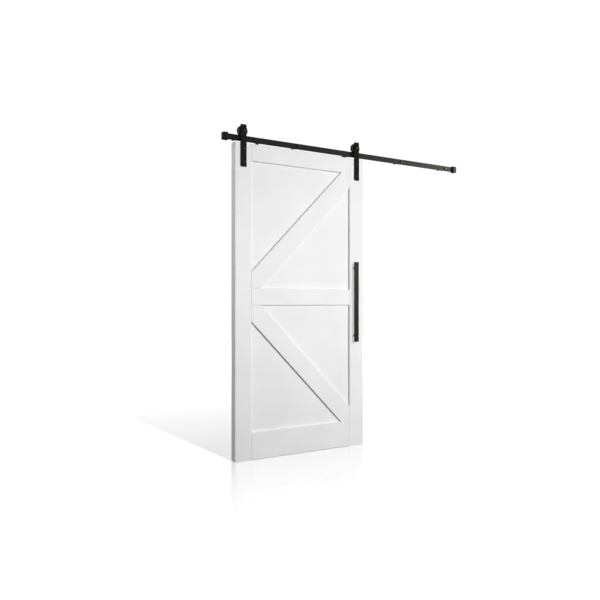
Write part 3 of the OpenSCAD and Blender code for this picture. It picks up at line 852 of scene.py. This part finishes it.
def makeDiscs():
    spec = discs
    low, high, size = nodeSize("anti_jump_discs")
    radius, height = size.y / 2, size.z
    first = Vector((low.x + radius * mm, (low.y + high.y) / 2, low.z))
    step = Vector((high.x - low.x - 2 * radius * mm, 0, 0))
    sink = height - spec["headHeight"] - spec["countersinkPlay"]
    shoulder = radius - spec["shoulder"]
    outline = [(spec["hole"] / 2, 0)] + softened(
        [(shoulder, 0), (radius, 0), (radius, height), (shoulder, height)], spec["edge"], closed=False)
    outline += [(spec["countersink"] / 2, height), (spec["hole"] / 2, sink)]
    pair = repeated(turned(outline), "anti_jump_discs_coated", coat, first, 2, step)
    finishPiece(pair, "leaf", coat, "anti_jump_discs")

    head, shank = spec["screwHead"] / 2, spec["screw"] / 2
    inward, down = spec["headEdge"]
    end = height - spec["screwLength"]
    screw = flatSocket(height, spec["socket"], spec["socketDepth"], spec["drillPoint"], spec["lip"])
    screw += [(head - inward, height), (head, height - down), (shank, height - spec["headHeight"]),
              (shank, end + spec["point"]), (0, end)]
    pair = repeated(turned(screw, 48, closed=False), "disc_screws_countersunk", oxide, first, 2, step)
    finishPiece(pair, "leaf", oxide, "disc_screws")


makeDiscs()


# Grub screws in the end stops

grub = {
    "diameter": 6.0, "socket": 3.0, "socketDepth": 2.5, "drillPoint": 0.4, "lip": 0.15, "edge": 0.4,
    "chamfer": 0.6, "spread": 16.0,
}


def makeGrubScrews():
    spec = grub
    low, high, size = nodeSize("stop_screws")
    radius, edge = spec["diameter"] / 2, spec["edge"]
    socket = flatSocket(0, spec["socket"], spec["socketDepth"], spec["drillPoint"], spec["lip"])
    screw = downward(socket) + [(radius - edge, 0), (radius, edge)]
    screw += shankRings(radius, size.y, spec["chamfer"])[1:]
    part = lathed(screw, 48, closed=False)
    first = Vector((low.x + radius * mm, low.y, (low.z + high.z) / 2))
    across = high.x - low.x - (2 * radius + spec["spread"]) * mm
    screws = repeated(part, "stop_screws_socket", oxide, first, 2, (spec["spread"] * mm, 0, 0),
                      2, (across, 0, 0))
    finishPiece(screws, "track", oxide, "stop_screws")


makeGrubScrews()


# Pull handle: bar, posts and the bolts through the leaf

pull = {
    "barEdge": 0.5, "postEdge": 0.6, "postPlay": 0.6, "bolt": 6.0, "boltChamfer": 0.8,
    "head": 14.0, "headHeight": 3.5, "socket": 4.0, "socketDepth": 2.2,
}


def makeHandle():
    spec = pull
    bar = softenedCopy("handle_bar", "handle_bar_coated", spec["barEdge"], 2)
    finishPiece(bar, "leaf", coat, "handle_bar")

    low, high, size = nodeSize("handle_posts")
    rise = Vector((0, 0, high.z - low.z - size.x * mm))
    lowest = Vector(((low.x + high.x) / 2, low.y, low.z + size.x / 2 * mm))
    post = lathed(tube(size.x, spec["bolt"] + spec["postPlay"], size.y, spec["postEdge"]))
    posts = repeated(post, "handle_posts_turned", coat, lowest, 2, rise)
    finishPiece(posts, "leaf", coat, "handle_posts")

    length = (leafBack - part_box("handle_bolts")[0].y) / mm
    head = domeHead(spec["head"], spec["headHeight"], spec["socket"], spec["socketDepth"])
    shank = shankRings(spec["bolt"] / 2, length, spec["boltChamfer"])
    bolt = lathed(head + downward(shank), closed=False)
    bolts = repeated(bolt, "handle_bolts_domed", oxide, (lowest.x, leafBack, lowest.z), 2, rise)
    finishPiece(bolts, "leaf", oxide, "handle_bolts")


makeHandle()
print("handle made")


# Fluted dowels in the joints of the leaf

dowel = {
    "diameter": 10.0, "length": 90.0, "point": 2.0, "pointInset": 1.2,
    "flutes": 16, "fluteDepth": 0.35, "stepsPerFlute": 4,
}


def makeDowels():
    spec = dowel
    node = frame["nodes"]["frame_dowels"]
    heights = sorted({round(v.co.z, 5) for v in node.data.vertices})
    low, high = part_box("frame_dowels")
    radius = spec["diameter"] / 2
    # heights of the dowels, from the gaps between the slices that their vertices fill
    centres, first = [], heights[0]
    for here, after in zip(heights, heights[1:] + [math.inf]):
        if after - here > radius * mm:
            centres.append((first + here) / 2)
            first = after
    part = newObject("dowel", dowelMesh())
    aimed(part, Matrix.Rotation(math.radians(90), 4, "Y"))
    span = high.x - low.x - spec["length"] * mm
    rows = []
    for centre in centres:
        copy = newObject("dowel", part.data.copy())
        start = (low.x, (low.y + high.y) / 2, centre)
        rows.append(repeated(copy, "dowelPair", beech, start, 2, (span, 0, 0)))
    bpy.data.objects.remove(part)
    finishPiece(joined("frame_dowels_fluted", rows), "leaf", beech, "frame_dowels")


def dowelMesh():
    # a fluted rod up Z with pointed ends
    spec = dowel
    solid = bmesh.new()
    steps = spec["flutes"] * spec["stepsPerFlute"]
    radius, length = spec["diameter"] / 2, spec["length"]
    end = radius - spec["pointInset"]
    outline = [(0, 0), (end, 0), (radius, spec["point"]), (radius, length - spec["point"]),
               (end, length), (0, length)]
    rows = []
    for reach, height in outline:
        row = []
        for k in range(steps):
            angle = 2 * math.pi * k / steps
            flute = 0.5 - 0.5 * math.cos(angle * spec["flutes"]) if reach == radius else 0
            r = (reach - flute * spec["fluteDepth"]) * mm
            row.append(solid.verts.new((r * math.cos(angle), r * math.sin(angle), height * mm)))
        rows.append(row)
    for low, high in zip(rows, rows[1:]):
        for k in range(steps):
            solid.faces.new((low[k], low[(k + 1) % steps], high[(k + 1) % steps], high[k]))
    bmesh.ops.remove_doubles(solid, verts=solid.verts, dist=weld)
    bmesh.ops.recalc_face_normals(solid, faces=solid.faces)
    mesh = bpy.data.meshes.new("dowel")
    solid.to_mesh(mesh)
    solid.free()
    return mesh


makeDowels()
print("dowels made")


# Floor: a lit white table, so even that its far edge melts into the surround. It glows, mirrors
# the leaf faintly, and takes the shadow of one lamp of its own.

table = {
    "gap": 0.0006,           # metres under the leaf
    "reach": 12.0,
    "glow": (0.6, 1.1),      # round the leaf, and far behind it
    "glowRise": (2.0, 5.0),  # metres behind the wall's face between which it rises
    "greyness": 0.112,       # how much of its lamp's light it sends back
    "mirrored": 0.44,        # share of the surface that reflects, at the leaf and behind it
    "mirrorFade": 1.45,      # metres before the leaf at which the reflection has gone
    "roughness": 0.22,
}
white = (1, 1, 1, 1)


def makeFloor():
    spec = table
    material = bpy.data.materials.new("whiteLightTable")
    material.use_nodes = True
    tree = material.node_tree
    tree.nodes.clear()
    tone = (spec["greyness"], spec["greyness"], spec["greyness"], 1)
    matt = addNode(tree, "ShaderNodeBsdfDiffuse", inputs={"Color": tone})
    place = addNode(tree, "ShaderNodeTexCoord").outputs["Object"]
    across = addNode(tree, "ShaderNodeSeparateXYZ", inputs={0: place}).outputs["Y"]
    (start, end), (low, high) = spec["glowRise"], spec["glow"]
    strength = addNode(tree, "ShaderNodeMapRange", inputs={
        "Value": across, "From Min": start, "From Max": end, "To Min": low, "To Max": high}).outputs[0]
    glow = addNode(tree, "ShaderNodeEmission", inputs={"Color": white, "Strength": strength})
    lit = addNode(tree, "ShaderNodeAddShader", inputs={0: matt.outputs[0], 1: glow.outputs[0]})
    mirror = addNode(tree, "ShaderNodeBsdfAnisotropic", {"distribution": "GGX"},
                     {"Color": white, "Roughness": spec["roughness"]})
    share = addNode(tree, "ShaderNodeMapRange", inputs={
        "Value": across, "From Min": leafFront - spec["mirrorFade"], "From Max": leafFront,
        "To Max": spec["mirrored"]}).outputs[0]
    whole = addNode(tree, "ShaderNodeMixShader", inputs={0: share, 1: lit.outputs[0], 2: mirror.outputs[0]})
    addNode(tree, "ShaderNodeOutputMaterial", inputs={"Surface": whole.outputs[0]})
    mesh = bpy.data.meshes.new("floor")
    level, reach = leafLow.z - spec["gap"], spec["reach"]
    corners = [(-reach, -reach, level), (reach, -reach, level), (reach, reach, level), (-reach, reach, level)]
    mesh.from_pydata(corners, [], [(0, 1, 2, 3)])
    floor = newObject("floor", mesh)
    mesh.materials.append(material)
    floor.visible_diffuse = False    # its light would lift the leaf's lower half
    floor.visible_glossy = False


makeFloor()


# Light: a white surround behind the leaf, a soft key from the front, large lamps to its right and
# one behind its left edge, three lamps that show only as gloss on dark steel, and a long strip for
# the floor's shadow.

# Disc lamps: degrees round the leaf to the right and up, metres away and across, watts. One with
# glossOn lights only those pieces, and the pieces in passes throw no shadow in its light.
lamps = {
    "front": {"round": 15, "up": 10, "away": 4.0, "size": 2.0, "power": 66, "passes": ["handle_bar_coated"]},
    "lowRight": {"round": 30, "up": -10, "away": 4.0, "size": 2.0, "power": 43,
                 "passes": ["handle_bar_coated"]},
    "gleam": {"round": 66, "up": 20, "away": 4.4, "size": 1.0, "power": 158, "glossOn": [
        "track_bar_coated", "lag_bolts_threaded", "lag_washers_pressed", "right_stop_coated",
        "handle_bar_coated", "axle_bolts_hex"]},
    "glint": {"round": 50, "up": 25, "away": 4.4, "size": 0.8, "power": 1500,
              "glossOn": ["strap_bolts_domed"]},
    "sheen": {"round": 50, "up": 25, "away": 4.4, "size": 0.8, "power": 170,
              "glossOn": ["handle_bar_coated"]},
    "nearTop": {"round": 30, "up": 5, "away": 2.2, "size": 1.2, "power": 5.4, "aim": (0.25, 0, 0.8)},
    "leftEdge": {"round": -110, "up": 30, "away": 4.0, "size": 2.0, "power": 26},
}
glossColour = (1.0, 0.94, 0.86)
key = {"up": 20, "angle": 15, "strength": 1.0}    # a sun, in degrees
strip = {
    "tilt": 15, "turn": 1.5,    # degrees that it leans back over the leaf and swings to the side
    "away": 40.0, "rise": 68.0, "length": 96.0, "width": 1.0,    # metres
    "power": 312000,
}
surround = {
    "strength": 1.0,
    "side": 0.4,                # how far round to the front its light fades out
    "horizon": (-0.1, 0.02),    # heights between which it fades in
    "backdrop": 1.03,           # what the camera sees, a little over white so that it stays pure
}


def newLight(name, kind, settings):
    data = bpy.data.lights.new(name, kind)
    for setting, value in settings.items():
        setattr(data, setting, value)
    lamp = bpy.data.objects.new(name, data)
    bpy.context.scene.collection.objects.link(lamp)
    return lamp


def pieceGroup(name, pieces, state):
    # these pieces for a lamp's linking, which counts them in (INCLUDE) or out (EXCLUDE)
    group = bpy.data.collections.new(name)
    for piece in pieces:
        group.objects.link(bpy.data.objects[piece])
    for member in group.collection_objects:
        member.light_linking.link_state = state
    return group


def makeLamps():
    middle = (leafLow + leafHigh) / 2
    for name, spec in lamps.items():
        lamp = newLight(name, "AREA", {"shape": "DISK", "size": spec["size"], "energy": spec["power"]})
        turn, rise = math.radians(spec["round"]), math.radians(spec["up"])
        out = Vector((math.sin(turn) * math.cos(rise), -math.cos(turn) * math.cos(rise), math.sin(rise)))
        lamp.location = middle + Vector(spec.get("aim", (0, 0, 0))) + out * spec["away"]
        lamp.rotation_euler = out.to_track_quat("Z", "Y").to_euler()
        lit, state = (spec["glossOn"], "INCLUDE") if "glossOn" in spec else (["floor"], "EXCLUDE")
        lamp.light_linking.receiver_collection = pieceGroup(name + "_lit", lit, state)
        if "glossOn" in spec:
            lamp.visible_diffuse = False
            lamp.data.color = glossColour
        if "passes" in spec:
            lamp.light_linking.blocker_collection = pieceGroup(name + "_past", spec["passes"], "EXCLUDE")


def makeKey():
    lamp = newLight("key", "SUN", {"energy": key["strength"], "angle": math.radians(key["angle"])})
    lamp.rotation_euler = (math.radians(90 - key["up"]), 0, 0)
    lamp.visible_glossy = False
    lamp.light_linking.receiver_collection = pieceGroup("key_lit", ["floor"], "EXCLUDE")


def makeStrip():
    # A far, narrow strip lamp in the plane of the leaf's left edge, leaning back over the leaf:
    # the shadow it throws on the floor has a crisp side and fades out behind the leaf.
    spec = strip
    lamp = newLight("strip", "AREA", {
        "shape": "RECTANGLE", "size": spec["width"], "size_y": spec["length"], "energy": spec["power"]})
    lean = Matrix.Rotation(math.radians(90 - spec["tilt"]), 4, "X")
    swing = Matrix.Rotation(math.radians(spec["turn"]), 4, "Z")
    lamp.matrix_world = (Matrix.Translation(leafLow) @ swing @ lean
                         @ Matrix.Translation((0, spec["rise"], spec["away"])))
    lamp.light_linking.receiver_collection = pieceGroup("strip_lit", ["floor"], "INCLUDE")


def makeSurround():
    spec = surround
    world = bpy.data.worlds.new("surround")
    bpy.context.scene.world = world
    world.use_nodes = True
    tree = world.node_tree
    tree.nodes.clear()
    smooth = {"interpolation_type": "SMOOTHSTEP"}
    direction = addNode(tree, "ShaderNodeTexCoord").outputs["Generated"]
    axes = addNode(tree, "ShaderNodeSeparateXYZ", inputs={0: direction}).outputs
    beyond = addNode(tree, "ShaderNodeMapRange", smooth, {
        "Value": axes["Y"], "From Min": -spec["side"], "From Max": spec["side"],
        "To Max": spec["strength"]}).outputs[0]
    low, high = spec["horizon"]
    above = addNode(tree, "ShaderNodeMapRange", smooth, {
        "Value": axes["Z"], "From Min": low, "From Max": high}).outputs[0]
    strength = addNode(tree, "ShaderNodeMath", {"operation": "MULTIPLY"}, {0: beyond, 1: above}).outputs[0]
    lit = addNode(tree, "ShaderNodeBackground", inputs={"Strength": strength, "Color": white})
    seen = addNode(tree, "ShaderNodeBackground", inputs={"Strength": spec["backdrop"], "Color": white})
    ray = addNode(tree, "ShaderNodeLightPath")
    mixed = addNode(tree, "ShaderNodeMixShader", inputs={
        0: ray.outputs["Is Camera Ray"], 1: lit.outputs[0], 2: seen.outputs[0]})
    addNode(tree, "ShaderNodeOutputWorld", inputs={0: mixed.outputs[0]})


makeLamps()
makeKey()
makeStrip()
makeSurround()
bpy.context.scene.view_settings.view_transform = "Standard"    # a white surround stays pure white
print("floor and lights made")
